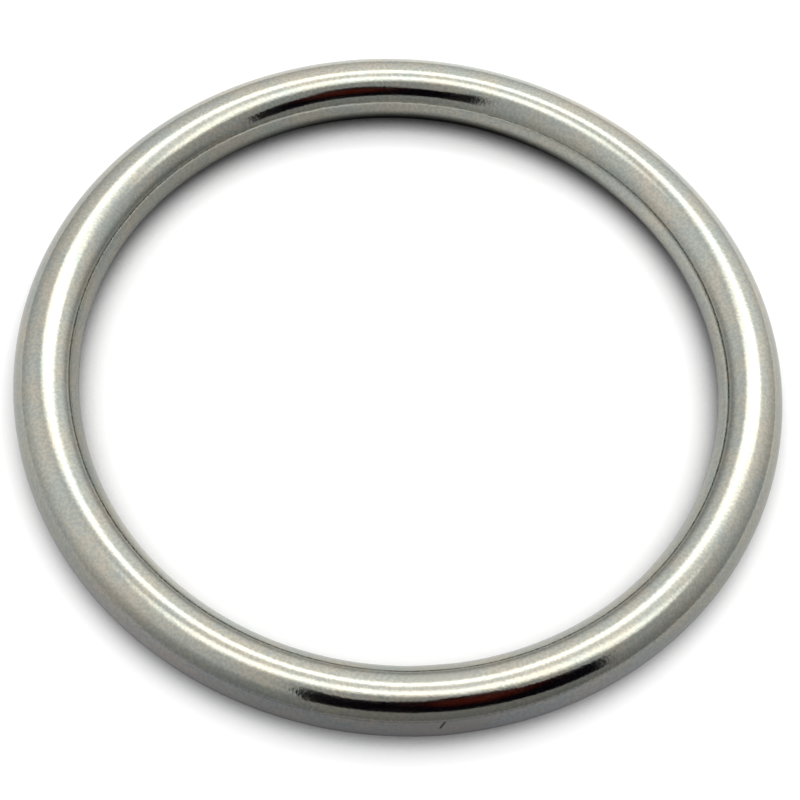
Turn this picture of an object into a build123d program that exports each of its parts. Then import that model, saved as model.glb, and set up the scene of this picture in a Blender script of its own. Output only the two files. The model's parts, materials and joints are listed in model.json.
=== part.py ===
from build123d import *
import os
from math import cos, degrees, pi, radians, sin

# Welded round ring
# A round bar is bent to a full circle, its two ends are butt welded, and the weld is
# dressed down and polished with the rest, so the finished ring is one solid.
# The ring lies flat. The origin is the centre of its eye and +Z is its axis.

# Driving dimensions, in millimetres and degrees
bar_diameter = 6.0
inner_diameter = 60.0    # clear width of the eye
weld_bearing = 280.9     # where the weld lies, counted from +X about +Z
weld_length = 6.0        # along the bar, over which the dressed weld swells and fades
weld_rise = 0.03         # what the dressing leaves of the weld above the bar
crease_bearing = 25.0    # middle of the open crease, counted up from the bar's outermost line
crease_length = 1.0
crease_width = 0.2
crease_depth = 0.1
crease_slant = 30.0      # from straight up the bar's side towards growing bearings

# Worked out from them
bar_radius = bar_diameter / 2
centreline_radius = inner_diameter / 2 + bar_radius
half_weld_angle = degrees(weld_length / 2 / centreline_radius)

# Cross-sections that shape the lofted forms
weld_stations = 7
crease_stations = 5


def section_plane(bearing):
    """Plane across the bar at a bearing: x points out of the ring and y points up."""
    outward = Vector(cos(radians(bearing)), sin(radians(bearing)), 0)
    along = outward.cross(Vector(0, 0, 1))
    return Plane(origin=outward * centreline_radius, x_dir=outward, z_dir=along)


def bent_bar():
    """The bar, bent round from one face of the weld to the other."""
    start = weld_bearing + half_weld_angle
    path = CenterArc((0, 0, 0), centreline_radius, start, 360 - 2 * half_weld_angle)
    return sweep(section_plane(start) * Circle(bar_radius), path=path)


def weld():
    """Weld metal between the bar's ends, dressed to a low smooth swell all round."""
    sections = []
    for station in range(weld_stations):
        along = station / (weld_stations - 1)
        bearing = weld_bearing + (2 * along - 1) * half_weld_angle
        swell = weld_rise * (1 - cos(2 * pi * along)) / 2
        sections.append(section_plane(bearing) * Circle(bar_radius + swell))
    return loft(sections)


def crease_cutter():
    """Four-edged spindle along the weld's surface, cut away to leave a vee-shaped open crease."""
    surface_radius = bar_radius + weld_rise
    across = crease_length * cos(radians(crease_slant))
    sideways = -crease_length * sin(radians(crease_slant))    # the section plane faces falling bearings

    def spot(along):
        """Plane square to the crease, from 0 at its lower tip to 1 at its upper tip."""
        turn = radians(crease_bearing) + (along - 0.5) * across / surface_radius
        outward = Vector(cos(turn), sin(turn), 0)
        centre = outward * surface_radius + Vector(0, 0, (along - 0.5) * sideways)
        heading = Vector(-sin(turn) * across, cos(turn) * across, sideways)
        return Plane(origin=centre, x_dir=outward, z_dir=heading)

    sections = [Vertex(spot(0).origin)]
    for station in range(1, crease_stations + 1):
        along = station / (crease_stations + 1)
        fullness = sin(pi * along)
        depth = crease_depth * fullness
        half_width = crease_width / 2 * fullness
        vee = Polygon((-depth, 0), (0, -half_width), (depth, 0), (0, half_width), align=None)
        sections.append(spot(along) * vee)
    sections.append(Vertex(spot(1).origin))
    return section_plane(weld_bearing) * loft(sections)


def ring():
    """The whole ring: bent bar and weld as one solid, with the crease left open."""
    return bent_bar() + weld() - crease_cutter()


os.makedirs("parts", exist_ok=True)
export_step(ring(), "parts/ring.step")
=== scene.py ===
import json
import math

import bpy
from mathutils import Matrix, Vector


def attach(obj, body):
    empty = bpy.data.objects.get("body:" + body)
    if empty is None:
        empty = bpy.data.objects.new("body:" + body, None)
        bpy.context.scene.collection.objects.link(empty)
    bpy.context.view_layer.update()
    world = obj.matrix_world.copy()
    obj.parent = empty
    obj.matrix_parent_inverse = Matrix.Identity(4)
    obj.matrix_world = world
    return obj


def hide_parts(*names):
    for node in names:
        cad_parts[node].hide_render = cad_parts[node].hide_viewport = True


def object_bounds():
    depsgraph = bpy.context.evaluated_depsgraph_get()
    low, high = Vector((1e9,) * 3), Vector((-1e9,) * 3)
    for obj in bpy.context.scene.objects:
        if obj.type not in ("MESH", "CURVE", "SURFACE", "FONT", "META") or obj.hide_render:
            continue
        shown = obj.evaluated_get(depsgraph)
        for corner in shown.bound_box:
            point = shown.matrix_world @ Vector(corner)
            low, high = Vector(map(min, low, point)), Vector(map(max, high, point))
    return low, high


# A polished stainless steel ring, bent from round bar and butt welded closed. It lies flat
# on a pale table in a light tent, under two strip lamps. The camera looks along +Y and down.

bl_info = {
    "name": "Welded Ring",
    "version": (1, 0, 0),
    "blender": (4, 5, 0),
    "location": "View3D > Sidebar > Ring",
    "description": "A polished welded ring and the light tent it is seen in",
    "category": "Add Mesh",
}

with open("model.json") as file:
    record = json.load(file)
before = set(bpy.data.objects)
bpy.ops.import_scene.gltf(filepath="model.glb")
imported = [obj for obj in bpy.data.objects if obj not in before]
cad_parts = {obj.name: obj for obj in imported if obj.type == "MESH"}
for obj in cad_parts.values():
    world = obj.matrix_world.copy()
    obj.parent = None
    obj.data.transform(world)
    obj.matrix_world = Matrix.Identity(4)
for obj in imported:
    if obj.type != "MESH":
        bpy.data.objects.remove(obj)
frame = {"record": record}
cad_low, cad_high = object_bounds()
gauges = {mount["name"]: mount["dims"]["r_mm"] / 1000 for mount in frame["record"]["mounts"]}
ring_reach = gauges["eye"] + gauges["bar"]    # radius of the bar's centreline

turn_once = 2 * math.pi
micron = 1e-6
black = (0.0, 0.0, 0.0)
white = (1.0, 1.0, 1.0)

# Steps of the ring's mesh, once round the ring and once round the bar, and the closer ones
# across the crease.
ring_steps, ring_steps_at_crease = 500, 40
bar_steps, bar_steps_at_crease = 88, 36

# The table top lies a hair below the ring, and its film half way between them.
table_level = cad_low.z - 0.00002
film_level = cad_low.z - 0.00001
table_half = 3.0
tent_radius = 1.8

# What the dimming film on the table lets through outside and inside the ring, which is painted shade
# on the table as the polish mirrors it, and how bright the tent's cloth glows, as bearing and level.
# The bearing is in degrees, 0 behind the ring and growing to the right, so both ends lie on the
# camera's side. The levels are light levels, fitted by comparing the brightness of renders with that
# of the photograph.
table_outside = (
    (-180, .26), (-165, .29), (-135, .47), (-105, .63), (-75, .74), (-45, .82), (0, 1.0),
    (45, .95), (75, .73), (105, .58), (135, .42), (165, .26), (180, .26))
table_inside = (
    (-180, .72), (-135, .87), (-105, .56), (-75, .52), (-45, .41), (-15, .42), (15, .60),
    (45, .80), (75, .60), (105, .70), (135, .76), (180, .72))
cloth_levels = (
    (-180, .31), (-165, .38), (-135, .52), (-105, .66), (-75, .68), (-45, .60), (-15, .74),
    (0, .80), (15, .82), (45, .84), (75, .53), (105, .34), (135, .29), (180, .31))

# The tent's front opening: its outline in its own plane, and where that plane lies.
opening_outline = (
    (-0.318, 0.024), (0.049, -0.149), (0.077, -0.051), (0.062, -0.021), (0.044, 0.002),
    (0.046, 0.040), (0.029, 0.064), (-0.031, 0.073), (-0.071, 0.094), (-0.082, 0.133),
    (-0.070, 0.188), (-0.200, 0.128))
opening_middle = (0.0705, -0.1333, 0.1924)
opening_turn = math.radians(60.87)
opening_tilt = math.radians(56.74)

# The strip lamps: middle, length and width.
rear_strip = (0.055, 0.369, 0.595), 0.532, 0.143
high_strip = (0.220, 0.039, 1.32), 1.35, 0.34

sensor_width = 36.0    # in millimetres, as a camera's sensor is stated
sight_from, sight_to = 0.01, 20.0    # how near and how far the camera sees


class RingSizes(bpy.types.PropertyGroup):
    """Sizes of the ring, in metres and radians."""

    eye_radius: bpy.props.FloatProperty(
        name="Eye radius", description="Half the clear width inside the ring",
        default=gauges["eye"], min=0.001, unit="LENGTH", precision=4)
    bar_radius: bpy.props.FloatProperty(
        name="Bar radius", description="Half the thickness of the round bar",
        default=gauges["bar"], min=0.0002, unit="LENGTH", precision=5)
    weld_bearing: bpy.props.FloatProperty(
        name="Weld bearing", description="Where the weld lies, counted from +X about +Z",
        default=math.radians(280.9), subtype="ANGLE")
    weld_length: bpy.props.FloatProperty(
        name="Weld length",
        description="Length of bar over which the dressed weld swells and fades",
        default=0.006, min=0.0001, unit="LENGTH", precision=4)
    weld_rise: bpy.props.FloatProperty(
        name="Weld rise", description="What the dressing leaves of the weld above the bar",
        default=0.00003, min=0, unit="LENGTH", precision=6)
    crease_bearing: bpy.props.FloatProperty(
        name="Crease bearing",
        description="Middle of the open crease, counted up from the bar's outermost line",
        default=math.radians(25), subtype="ANGLE")
    crease_length: bpy.props.FloatProperty(
        name="Crease length", description="Length of the open crease in the weld",
        default=0.001, min=0.00001, unit="LENGTH", precision=5)
    crease_width: bpy.props.FloatProperty(
        name="Crease width", description="Width of the open crease at its middle",
        default=0.0002, min=0.00001, unit="LENGTH", precision=6)
    crease_depth: bpy.props.FloatProperty(
        name="Crease depth", description="Depth of the open crease at its middle",
        default=0.0001, min=0, unit="LENGTH", precision=6)
    crease_slant: bpy.props.FloatProperty(
        name="Crease slant", description="Turn of the crease from straight up the bar's side",
        default=math.radians(30), subtype="ANGLE")


class SteelFinish(bpy.types.PropertyGroup):
    """Colours and texture of the polished steel."""

    warm_steel: bpy.props.FloatVectorProperty(
        name="Warm steel", description="Colour of the metal where it leans to straw",
        default=(0.485, 0.458, 0.385), size=3, min=0, max=1, subtype="COLOR")
    cool_steel: bpy.props.FloatVectorProperty(
        name="Cool steel", description="Colour of the metal where it leans to green grey",
        default=(0.415, 0.442, 0.405), size=3, min=0, max=1, subtype="COLOR")
    # Partly heat tint from the weld, and partly painted shade that darkens the front near the weld.
    weld_tint_and_shade: bpy.props.FloatVectorProperty(
        name="Weld tint", description="Colour of the metal warmed by the weld",
        default=(0.43, 0.415, 0.36), size=3, min=0, max=1, subtype="COLOR")
    # The colour the open crease is darkened to.
    crease_dark_colour: bpy.props.FloatVectorProperty(
        name="Crease soot", description="Colour of the dirt that polishing left in the crease",
        default=(0.14, 0.13, 0.125), size=3, min=0, max=1, subtype="COLOR")
    gloss_low: bpy.props.FloatProperty(
        name="Finest polish", description="Roughness where the polish is finest",
        default=0.08, min=0, max=1, subtype="FACTOR")
    gloss_high: bpy.props.FloatProperty(
        name="Dullest polish", description="Roughness where the polish is dullest",
        default=0.14, min=0, max=1, subtype="FACTOR")
    grain_size: bpy.props.FloatProperty(
        name="Grain size", description="Width of the fine pebbling that polishing leaves",
        default=0.0003, min=0.00001, unit="LENGTH", precision=6)
    grain_height: bpy.props.FloatProperty(
        name="Grain height", description="Height of the fine pebbling",
        default=0.000006, min=0, unit="LENGTH", precision=7)
    # Painted shade: how much the metal's colour is darkened in the hollows of the pebbling.
    grain_shade: bpy.props.FloatProperty(
        name="Grain shade",
        description="How much darker the metal is in the hollows of the pebbling",
        default=0.12, min=0, max=1, subtype="FACTOR")
    polish_height: bpy.props.FloatProperty(
        name="Polish line height",
        description="Height of the polishing lines that run round the ring",
        default=0.0000015, min=0, unit="LENGTH", precision=7)


class StudioSettings(bpy.types.PropertyGroup):
    """Table, tent, lamps and camera."""

    table_white: bpy.props.FloatVectorProperty(
        name="Table", description="Colour of the table top",
        default=(0.93, 0.93, 0.94), size=3, min=0, max=1, subtype="COLOR")
    cloth_white: bpy.props.FloatVectorProperty(
        name="Tent cloth", description="Colour of the tent's cloth",
        default=white, size=3, min=0, max=1, subtype="COLOR")
    opening_dark: bpy.props.FloatVectorProperty(
        name="Tent opening", description="Colour of the tent's front opening",
        default=(0.003, 0.002, 0.004), size=3, min=0, max=1, subtype="COLOR")
    opening_red: bpy.props.FloatVectorProperty(
        name="Opening's middle", description="Colour of the opening in its middle",
        default=(0.08, 0.011, 0.006), size=3, min=0, max=1, subtype="COLOR")
    room_level: bpy.props.FloatProperty(
        name="Room light", description="Even light that reaches the object from all round",
        default=0.92, min=0)
    table_lift: bpy.props.FloatProperty(
        name="Table lift",
        description="What is added to the table's own brightness where it is looked at",
        default=0.25, min=0)
    rear_lamp: bpy.props.FloatProperty(
        name="Rear strip", description="Brightness of the strip lamp above and behind the ring",
        default=1.9, min=0)
    high_lamp: bpy.props.FloatProperty(
        name="High strip", description="Brightness of the strip lamp high above the ring",
        default=1.8, min=0)
    lamp_colour: bpy.props.FloatVectorProperty(
        name="Lamp colour", description="Colour of both strip lamps",
        default=(1.0, 1.0, 0.95), size=3, min=0, max=1, subtype="COLOR")
    eye_distance: bpy.props.FloatProperty(
        name="Camera distance", description="From the middle of the ring to the camera",
        default=0.185692, min=0.01, unit="LENGTH", precision=4)
    eye_height: bpy.props.FloatProperty(
        name="Camera height", description="How far the camera stands above the table's horizon",
        default=math.radians(59.852), subtype="ANGLE")
    eye_turn: bpy.props.FloatProperty(
        name="Camera turn",
        description="How far the camera is turned to the right of the ring's middle",
        default=0.0012052, subtype="ANGLE")
    eye_tilt: bpy.props.FloatProperty(
        name="Camera tilt", description="How far the camera is tilted up from the ring's middle",
        default=-0.0160459, subtype="ANGLE")
    eye_roll: bpy.props.FloatProperty(
        name="Camera roll",
        description="How far the camera is rolled about its own line of sight",
        default=0.1080069, subtype="ANGLE")
    lens: bpy.props.FloatProperty(
        name="Lens", description="Focal length on a sensor 36 mm wide",
        default=88.881, min=1, subtype="DISTANCE_CAMERA", unit="CAMERA")


class Wire:
    """A shader socket that sums can be written with. Plain numbers stay in Python."""

    def __init__(self, tree, socket=None):
        self.tree, self.socket = tree, socket

    def node(self, kind, settings=None, values=None, output=0):
        """Adds a node: its settings first, then its sockets' values or links."""
        made = self.tree.nodes.new(kind)
        for name, value in (settings or {}).items():
            if name == "stops":
                for stop, (spot, colour) in zip(made.color_ramp.elements, value[:2]):
                    stop.position, stop.color = spot, (*colour, 1)
                for spot, colour in value[2:]:
                    made.color_ramp.elements.new(spot).color = (*colour, 1)
            else:
                setattr(made, name, value)
        for name, value in (values or {}).items():
            if isinstance(value, Wire):
                self.tree.links.new(value.socket, made.inputs[name])
            else:
                made.inputs[name].default_value = value
        return Wire(self.tree, made.outputs[output]) if made.outputs else made

    def also(self, output):
        """Another output of the node that this wire comes from."""
        return Wire(self.tree, self.socket.node.outputs[output])

    def maths(self, operation, *values):
        """A Math node on wires and plain numbers."""
        return self.node("ShaderNodeMath", {"operation": operation}, dict(enumerate(values)))

    def vectors(self, operation, *values):
        """A Vector Math node. It gives a number for a length or a dot product."""
        output = "Value" if operation in {"LENGTH", "DOT_PRODUCT"} else "Vector"
        return self.node("ShaderNodeVectorMath", {"operation": operation},
                         dict(enumerate(values)), output)

    def __add__(self, other):
        return self.maths("ADD", self, other)

    __radd__ = __add__

    def __mul__(self, other):
        return self.maths("MULTIPLY", self, other)

    __rmul__ = __mul__

    def __sub__(self, other):
        return self.maths("SUBTRACT", self, other)

    def __rsub__(self, other):
        return self.maths("SUBTRACT", other, self)

    def __truediv__(self, other):
        return self.maths("DIVIDE", self, other)

    def __rtruediv__(self, other):
        return self.maths("DIVIDE", other, self)

    def size(self):
        """The value without its sign."""
        return self.maths("ABSOLUTE", self)

    def ease(self, low, high):
        """0 below low, 1 above high, and a smooth rise between them."""
        return self.node("ShaderNodeMapRange", {"interpolation_type": "SMOOTHSTEP"},
                         {"Value": self, "From Min": low, "From Max": high})

    def blend(self, first, second):
        """The first colour where this wire is 0 and the second where it is 1."""
        first, second = ((*c, 1) if not isinstance(c, Wire) else c for c in (first, second))
        return self.node("ShaderNodeMix", {"data_type": "RGBA"}, {0: self, 6: first, 7: second}, 2)


def new_material(name):
    """An empty material, and a wire to start its nodes from."""
    material = bpy.data.materials.new(name)
    material.use_nodes = True
    material.node_tree.nodes.clear()
    return material, Wire(material.node_tree)


def place_on(start):
    """Where the shaded point lies, counted from its object's own origin."""
    return start.node("ShaderNodeTexCoord", output="Object")


def parts_of(place):
    """The x, y and z of a place."""
    apart = place.node("ShaderNodeSeparateXYZ", None, {"Vector": place})
    return apart, apart.also("Y"), apart.also("Z")


def distance(x, y):
    """How far from the Z axis x and y lie."""
    return x.maths("SQRT", x * x + y * y)


def crease_mask(place, sizes):
    """1 in the open crease and 0 beside it."""
    centre_radius = sizes.eye_radius + sizes.bar_radius
    up, slant = sizes.crease_bearing, sizes.crease_slant
    to_weld = Matrix.Rotation(sizes.weld_bearing, 3, "Z")
    middle = to_weld @ Vector((centre_radius + sizes.bar_radius * math.cos(up), 0,
                               sizes.bar_radius * math.sin(up)))
    way = to_weld @ Vector((-math.sin(up) * math.cos(slant), math.sin(slant),
                            math.cos(up) * math.cos(slant)))
    gap = place.vectors("SUBTRACT", place, middle)
    down = place.vectors("DOT_PRODUCT", gap, way)
    off_squared = place.vectors("DOT_PRODUCT", gap, gap) - down * down
    off = place.maths("SQRT", place.maths("MAXIMUM", off_squared, 0.0))
    within_length = 1 - down.size().ease(sizes.crease_length * 0.3, sizes.crease_length * 0.6)
    within_width = 1 - off.ease(sizes.crease_width * 0.3, sizes.crease_width * 0.8)
    return within_length * within_width


def steel(sizes, finish):
    """Polished steel: patches of tint, fine pebbling with painted shade in its hollows, polishing
    lines, and the weld's marks, partly painted shade.
    """
    material, start = new_material("polished_steel")
    place = place_on(start)
    x, y, z = parts_of(place)
    centre_radius = sizes.eye_radius + sizes.bar_radius
    reach = distance(x, y)
    east, north = x / reach, y / reach
    out, up = (reach - centre_radius) / sizes.bar_radius, z / sizes.bar_radius

    def round_noise(around, across, **values):
        """Noise that follows the bar: cells per radian round the ring and per bar radius."""
        spot = start.node("ShaderNodeCombineXYZ", None,
                          {"X": east * around, "Y": north * around, "Z": out * across})
        return start.node("ShaderNodeTexNoise", {"noise_dimensions": "4D"},
                          {"Vector": spot, "W": up * across, "Scale": 1.0, **values})

    grain = start.node(
        "ShaderNodeTexNoise", None,
        {"Vector": place, "Scale": 1 / finish.grain_size, "Detail": 2.0, "Roughness": 0.55})
    tint = round_noise(around=7.0, across=1.1, Detail=3.0, Roughness=0.6)
    lines = round_noise(around=9.0, across=22.0, Detail=2.0)
    cloud = round_noise(around=14.0, across=2.0, Detail=4.0, Roughness=0.65)

    # The grain frays the edges of the tinted patches.
    warm = (tint + (grain - 0.5) * 0.5).ease(0.33, 0.67)
    # Painted shade: the metal's colour is darkened in the hollows of the pebbling.
    hollow_shade = grain.ease(0.62, 0.38)
    colour = warm.blend(finish.cool_steel, finish.warm_steel)
    colour = (hollow_shade * finish.grain_shade).blend(colour, black)

    # Near the weld the metal takes the weld tint: partly heat tint, and partly painted shade that
    # stands in for the darker reflection at the front.
    weld_angle = sizes.weld_length / 2 / centre_radius
    to_weld = east * math.cos(sizes.weld_bearing) + north * math.sin(sizes.weld_bearing)
    near_weld = to_weld.ease(math.cos(weld_angle * 1.5), 1.0)
    colour = (near_weld * 0.6).blend(colour, finish.weld_tint_and_shade)
    # The open crease is coloured darker than the metal round it.
    colour = crease_mask(place, sizes).blend(colour, finish.crease_dark_colour)

    rough = start.node(
        "ShaderNodeMapRange", None,
        {"Value": cloud * 0.6 + lines * 0.4, "From Min": 0.35, "From Max": 0.65,
         "To Min": finish.gloss_low, "To Max": finish.gloss_high})
    relief = grain * (finish.grain_height / micron) + lines * (finish.polish_height / micron)
    bump = start.node("ShaderNodeBump", None,
                      {"Height": relief, "Distance": micron, "Strength": 1.0})
    surface = start.node(
        "ShaderNodeBsdfPrincipled", None,
        {"Base Color": colour, "Metallic": 1.0, "Roughness": rough, "Normal": bump})
    start.node("ShaderNodeOutputMaterial", None, {"Surface": surface})
    return material


def once_round(count, low, high, fine_count):
    """Angles once round in even steps, with closer ones from low to high."""
    even = [turn_once * k / count for k in range(count)]
    fine = [low + (high - low) * k / fine_count for k in range(fine_count + 1)]
    return sorted([a for a in even if not low <= a <= high] + fine)


def ring_mesh(sizes):
    """The bar bent to a circle, with the weld's low swell and the open crease in it."""
    centre_radius = sizes.eye_radius + sizes.bar_radius
    half_weld = sizes.weld_length / 2 / centre_radius
    slant = sizes.crease_slant

    # Closer steps reach a quarter of the crease's length past each of its ends.
    fine_reach = sizes.crease_length * 0.75
    fine_half = fine_reach / (centre_radius + sizes.bar_radius)
    bearings = once_round(ring_steps, sizes.weld_bearing - fine_half,
                          sizes.weld_bearing + fine_half, ring_steps_at_crease)
    fine_half = fine_reach / sizes.bar_radius
    turns = once_round(bar_steps, sizes.crease_bearing - fine_half,
                       sizes.crease_bearing + fine_half, bar_steps_at_crease)

    def section_radius(bearing, turn):
        """The bar's radius at a bearing round the ring and a turn round the bar."""
        offset = bearing - sizes.weld_bearing
        radius = sizes.bar_radius
        if abs(offset) < half_weld:
            radius += sizes.weld_rise * (1 + math.cos(math.pi * offset / half_weld)) / 2
        up_side = (turn - sizes.crease_bearing) * radius
        sideways = offset * (centre_radius + radius * math.cos(turn))
        down_crease = up_side * math.cos(slant) + sideways * math.sin(slant)
        off_crease = abs(sideways * math.cos(slant) - up_side * math.sin(slant))
        if abs(down_crease) < sizes.crease_length / 2:
            fullness = math.cos(math.pi * down_crease / sizes.crease_length)
            share = 1 - off_crease / (sizes.crease_width / 2 * fullness)
            radius -= sizes.crease_depth * fullness * max(0.0, share)
        return radius

    corners = []
    for bearing in bearings:
        for turn in turns:
            radius = section_radius(bearing, turn)
            reach = centre_radius + radius * math.cos(turn)
            corners.append((reach * math.cos(bearing), reach * math.sin(bearing),
                            radius * math.sin(turn)))
    n, m = len(bearings), len(turns)
    faces = [(i * m + j, (i + 1) % n * m + j, (i + 1) % n * m + (j + 1) % m, i * m + (j + 1) % m)
             for i in range(n) for j in range(m)]
    mesh = bpy.data.meshes.new("polished_ring")
    mesh.from_pydata(corners, [], faces)
    mesh.shade_smooth()
    return mesh


def add(name, data):
    """An object with this mesh, lamp or camera, in the scene."""
    made = bpy.data.objects.new(name, data)
    bpy.context.scene.collection.objects.link(made)
    return made


class OBJECT_OT_polished_ring(bpy.types.Operator):
    """Build the polished ring in place of its plain solid"""

    bl_idname = "object.polished_ring"
    bl_label = "Polished ring"

    def execute(self, context):
        sizes, finish = context.scene.ring_sizes, context.scene.steel_finish
        piece = add("polished_ring", ring_mesh(sizes))
        piece.data.materials.append(steel(sizes, finish))
        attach(piece, "root")
        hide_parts("ring")
        return {"FINISHED"}


def sheet(name, corners, faces, material):
    """A thin thing of the studio, from its corners and faces."""
    mesh = bpy.data.meshes.new(name)
    mesh.from_pydata(corners, [], faces)
    mesh.materials.append(material)
    return add(name, mesh)


def rectangle(along, across, level):
    """Corners and face of a level rectangle, from half its length and half its width."""
    corners = [(-along, -across, level), (along, -across, level),
               (along, across, level), (-along, across, level)]
    return corners, [(0, 1, 2, 3)]


def standing_band(reach, top, middle, spread, count):
    """Corners and faces of a band that stands on the table round the Z axis, angles in degrees."""
    corners = []
    for k in range(count + 1):
        bearing = math.radians(middle - spread + 2 * spread * k / count)
        for z in (cad_low.z, top):
            corners.append((reach * math.cos(bearing), reach * math.sin(bearing), z))
    return corners, [(2 * k, 2 * k + 2, 2 * k + 3, 2 * k + 1) for k in range(count)]


def only_in_polish(thing):
    """Keeps a thing of the studio out of sight, but for its image in the polish."""
    thing.visible_camera = thing.visible_diffuse = thing.visible_shadow = False
    thing.visible_transmission = thing.visible_volume_scatter = False
    return thing


def glow(name, light_of):
    """A material that only glows. light_of gives its colour and strength."""
    material, start = new_material(name)
    colour, strength = light_of(start)
    shine = start.node("ShaderNodeEmission", None, {"Color": colour, "Strength": strength})
    start.node("ShaderNodeOutputMaterial", None, {"Surface": shine})
    material.cycles.emission_sampling = "NONE"
    return material


def tinted_film(name, tone_of):
    """A clear film that dims what lies behind it. tone_of gives what it lets through."""
    material, start = new_material(name)
    clear = start.node("ShaderNodeBsdfTransparent", None, {"Color": tone_of(start)})
    start.node("ShaderNodeOutputMaterial", None, {"Surface": clear})
    return material


def looked_at(start):
    """1 where a thing is looked at, straight, in a polish or through glass, and 0 elsewhere."""
    path = start.node("ShaderNodeLightPath", output="Is Camera Ray")
    seen = path.maths("MAXIMUM", path, path.also("Is Glossy Ray"))
    return seen.maths("MAXIMUM", seen, path.also("Is Transmission Ray"))


def close_by(start, near, far):
    """1 for what mirrors a thing from nearer than near, and 0 from further off than far."""
    return 1 - start.node("ShaderNodeLightPath", output="Ray Length").ease(near, far)


def level_round(x, y, levels):
    """A level that changes with the bearing, as one of the tables at the top says."""
    bearing = x.maths("ARCTAN2", x, y) / turn_once + 0.5
    stops = [((degree + 180) / 360, (level, level, level)) for degree, level in levels]
    grey = x.node("ShaderNodeValToRGB", {"stops": [stops[0], stops[-1], *stops[1:-1]]},
                  {"Fac": bearing})
    return grey * 1.0    # one number in place of a grey colour


def from_the_front(y, reach):
    """The light's colour round the ring: white, and a little blue on the camera's side."""
    return (y / reach * -1).ease(0.45, 0.95).blend(white, (0.99, 0.98, 1.08))


def table(studio):
    """The pale table top. It keeps the ring's cast shadow, with a painted shadow added close beside
    the ring.
    """
    material, start = new_material("table_white")
    # Painted shadow: close beside the ring, where little of the sky is open, the table's colour and
    # its lift are darkened.
    open_sky = start.node("ShaderNodeAmbientOcclusion", {"samples": 8}, {"Distance": 0.06}, "AO")
    clear = open_sky.ease(0.12, 0.76)
    matt = start.node("ShaderNodeBsdfDiffuse", None,
                      {"Color": clear.blend(black, tuple(studio.table_white))})
    lift = start.node("ShaderNodeEmission", None,
                      {"Strength": looked_at(start) * clear * studio.table_lift})
    both = start.node("ShaderNodeAddShader", None, {0: matt, 1: lift})
    start.node("ShaderNodeOutputMaterial", None, {"Surface": both})
    return sheet("table_top", *rectangle(table_half, table_half, table_level), material)


def reflection_dimming_film():
    """Painted shade in the polish: a film on the table that only the polish sees, so the ring
    mirrors a table as dim as the tent's cloth beyond it.
    """
    count = 96
    corners = [(0, 0, film_level)]
    for k in range(count):
        bearing = turn_once * k / count
        corners.append((tent_radius * math.cos(bearing), tent_radius * math.sin(bearing),
                        film_level))
    faces = [(0, 1 + k, 1 + (k + 1) % count) for k in range(count)]

    def tone(start):
        x, y, _ = parts_of(place_on(start))
        reach = distance(x, y)
        rings_out = reach / ring_reach
        outside = level_round(x, y, table_outside)
        outside = start.maths("MAXIMUM", outside, rings_out.ease(1.5, 4.0) * 0.42)
        # Painted shade: just inside the rear of the ring the film darkens the table for the metal
        # close above it.
        painted_shade_under_rear = rings_out.ease(0.78, 0.92) * (y / ring_reach).ease(0.62, 0.92)
        shade = painted_shade_under_rear * close_by(start, 0.012, 0.030) * 0.93
        inside = level_round(x, y, table_inside) * (1 - shade)
        share = rings_out.ease(1.0, 1.08)
        level = inside * (1 - share) + outside * share
        return level.blend(black, share.blend(white, from_the_front(y, reach)))

    return only_in_polish(sheet("reflection_dimming_film", corners, faces, tinted_film("reflection_dimming_film", tone)))


def front_shade_band():
    """Painted shade in the polish: a low dim band at the tent's open front. It dims only what
    mirrors it from close by.
    """
    fade_from, top = 0.022, 0.038

    def tone(start):
        x, y, z = parts_of(place_on(start))
        bearing = start.maths("ARCTAN2", x, y * -1)
        middle = 1 - bearing.size().ease(math.radians(25), math.radians(72))
        low = 1 - z.ease(fade_from, top)
        return 1 - middle * low * close_by(start, 0.055, 0.085) * 0.3

    band = standing_band(0.073, top, middle=270, spread=75, count=48)
    return only_in_polish(sheet("front_shade_band", *band, tinted_film("front_shade_band", tone)))


def eye_shade_band():
    """A dim band low inside the eye, a painted dark reflection: the inner side of the ring shows it
    as a soft dark line.
    """
    reach, top = gauges["eye"] * 0.99, 0.030

    def tone(start):
        x, y, z = parts_of(place_on(start))
        from_within = start.node("ShaderNodeNewGeometry", output="Backfacing")
        dim = z.ease(0.003, 0.011) * (1 - z.ease(0.010, top))
        behind = (y / reach).ease(-0.33, 0.1) * (x / reach).ease(-1.0, -0.65)
        return 1 - dim * from_within * behind * 0.38

    band = standing_band(reach, top, middle=90, spread=110, count=60)
    return only_in_polish(sheet("eye_shade_band", *band, tinted_film("eye_shade_band", tone)))


def tent(studio):
    """The tent's cloth all round: bright behind the ring and dim on the camera's side."""
    rows, steps = 18, 72
    corners, faces = [], []
    for i in range(rows + 1):
        rise = math.pi / 2 * i / rows
        for k in range(steps):
            bearing = turn_once * k / steps
            corners.append((tent_radius * math.cos(rise) * math.cos(bearing),
                            tent_radius * math.cos(rise) * math.sin(bearing),
                            tent_radius * math.sin(rise)))
    for i in range(rows):
        for k in range(steps):
            faces.append((i * steps + k, i * steps + (k + 1) % steps,
                          (i + 1) * steps + (k + 1) % steps, (i + 1) * steps + k))

    def cloth(start):
        x, y, z = parts_of(place_on(start))
        brighter_above = 1 + (z / tent_radius).ease(0.0, 0.75) * 0.6
        return (*studio.cloth_white, 1), level_round(x, y, cloth_levels) * brighter_above

    return only_in_polish(sheet("tent_cloth", corners, faces, glow("tent_cloth", cloth)))


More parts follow.
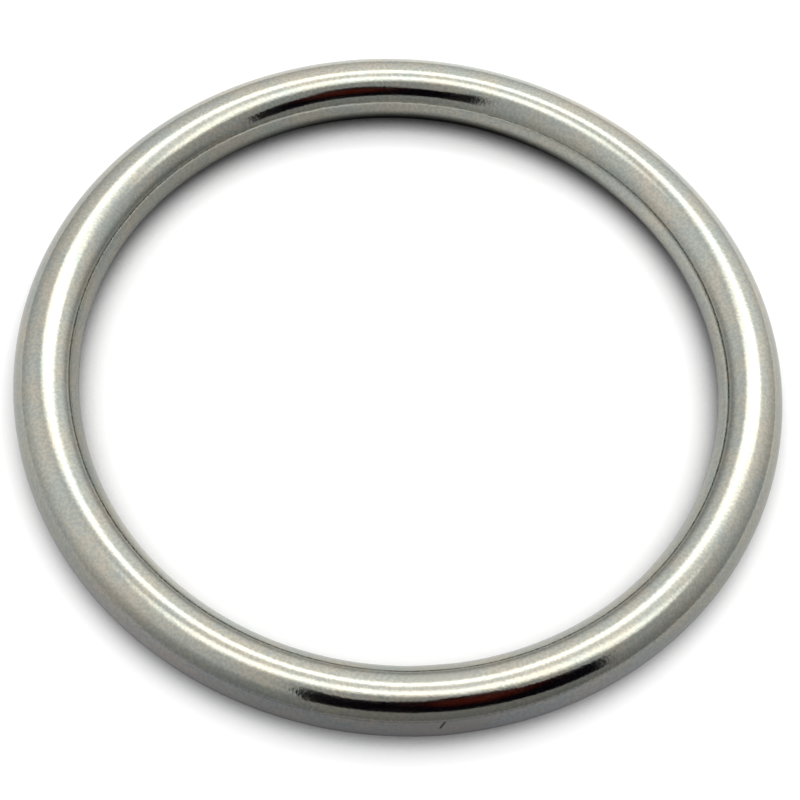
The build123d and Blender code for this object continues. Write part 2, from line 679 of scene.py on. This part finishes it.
def opening(studio):
    """The tent's dark front opening, dark red in its middle."""
    def dark(start):
        off_middle = start.vectors("LENGTH", place_on(start))
        red = 1 - off_middle.ease(0.012, 0.068)
        return red.blend(tuple(studio.opening_dark), tuple(studio.opening_red)), 1.0

    corners = [(x, y, 0) for x, y in opening_outline]
    made = sheet("tent_opening", corners, [tuple(range(len(corners)))], glow("tent_opening", dark))
    made.matrix_world = (
        Matrix.Translation(opening_middle) @ Matrix.Rotation(opening_turn, 4, "Z")
        @ Matrix.Rotation(opening_tilt, 4, "X"))
    return only_in_polish(made)


def strip_lamp(name, middle, length, width, brightness, colour):
    """A strip lamp, tilted towards the ring. It lights the table; the polish shows its soft glow."""
    spot = Vector(middle)
    facing = Matrix.Translation(spot) @ Matrix.Rotation(math.atan2(-spot.y, spot.z), 4, "X")
    data = bpy.data.lights.new(name, "AREA")
    data.shape, data.size, data.size_y = "RECTANGLE", length, width
    data.color = colour
    data.energy = brightness * math.pi * length * width
    lamp = add(name, data)
    lamp.matrix_world = facing
    lamp.visible_camera = lamp.visible_glossy = False

    # The glow fades out over the lamp's width to either side and a little past its ends.
    end = width * 0.6
    across, along = width, length / 2 + end
    material, start = new_material(name + "_glow")
    x, y, _ = parts_of(place_on(start))
    soft = (1 - y.size().ease(0.0, across)) * (1 - x.size().ease(length / 2 - end, along))
    shine = start.node("ShaderNodeEmission", None,
                       {"Color": (*colour, 1), "Strength": soft * brightness})
    clear = start.node("ShaderNodeBsdfTransparent")
    both = start.node("ShaderNodeAddShader", None, {0: clear, 1: shine})
    start.node("ShaderNodeOutputMaterial", None, {"Surface": both})
    material.cycles.emission_sampling = "NONE"
    card = sheet(name + "_glow", *rectangle(along, across, 0), material)
    card.matrix_world = facing
    return only_in_polish(card)


def room(studio):
    """White all round where it is looked at, and an even light on the object."""
    world = bpy.data.worlds.new("white_room")
    world.use_nodes = True
    world.node_tree.nodes.clear()
    start = Wire(world.node_tree)
    seen = looked_at(start)
    light = start.node("ShaderNodeBackground", None,
                       {"Color": (*white, 1), "Strength": seen + (1 - seen) * studio.room_level})
    start.node("ShaderNodeOutputWorld", None, {"Surface": light})
    bpy.context.scene.world = world


def camera(studio):
    """The camera, aimed so that the ring stands in the frame as in the photograph."""
    data = bpy.data.cameras.new("camera")
    data.lens, data.sensor_width = studio.lens, sensor_width
    data.clip_start, data.clip_end = sight_from, sight_to
    made = add("camera", data)
    height = studio.eye_height
    spot = Vector((0, -math.cos(height), math.sin(height))) * studio.eye_distance
    made.matrix_world = (
        Matrix.Translation(spot) @ (-spot).to_track_quat("-Z", "Y").to_matrix().to_4x4()
        @ Matrix.Rotation(-studio.eye_turn, 4, "Y") @ Matrix.Rotation(studio.eye_tilt, 4, "X")
        @ Matrix.Rotation(studio.eye_roll, 4, "Z"))
    bpy.context.scene.camera = made


class SCENE_OT_ring_studio(bpy.types.Operator):
    """Set up the table, the light tent, the strip lamps and the camera"""

    bl_idname = "scene.ring_studio"
    bl_label = "Studio"

    def execute(self, context):
        studio = context.scene.studio_settings
        rear = strip_lamp("rear_strip", *rear_strip, studio.rear_lamp, studio.lamp_colour)
        high = strip_lamp("high_strip", *high_strip, studio.high_lamp, studio.lamp_colour)
        table(studio)
        reflection_dimming_film()
        tent(studio)
        front_shade_band()
        eye_shade_band()
        opening(studio)
        room(studio)
        camera(studio)
        context.scene.view_settings.view_transform = "Standard"
        return {"FINISHED"}


class VIEW3D_PT_welded_ring(bpy.types.Panel):
    """The ring's sizes and finish, and what builds it"""

    bl_idname = "VIEW3D_PT_welded_ring"
    bl_label = "Welded Ring"
    bl_space_type = "VIEW_3D"
    bl_region_type = "UI"
    bl_category = "Ring"

    def draw(self, context):
        layout = self.layout
        for group, operator in (
            (context.scene.ring_sizes, None),
            (context.scene.steel_finish, OBJECT_OT_polished_ring),
            (context.scene.studio_settings, SCENE_OT_ring_studio),
        ):
            box = layout.box()
            for name in group.__annotations__:
                box.prop(group, name)
            if operator:
                box.operator(operator.bl_idname)


classes = (RingSizes, SteelFinish, StudioSettings, OBJECT_OT_polished_ring, SCENE_OT_ring_studio,
           VIEW3D_PT_welded_ring)


def register():
    for cls in classes:
        bpy.utils.register_class(cls)
    bpy.types.Scene.ring_sizes = bpy.props.PointerProperty(type=RingSizes)
    bpy.types.Scene.steel_finish = bpy.props.PointerProperty(type=SteelFinish)
    bpy.types.Scene.studio_settings = bpy.props.PointerProperty(type=StudioSettings)


def unregister():
    del bpy.types.Scene.studio_settings
    del bpy.types.Scene.steel_finish
    del bpy.types.Scene.ring_sizes
    for cls in reversed(classes):
        bpy.utils.unregister_class(cls)


def main():
    register()
    bpy.ops.object.polished_ring()
    bpy.ops.scene.ring_studio()


if __name__ == "__main__":
    main()
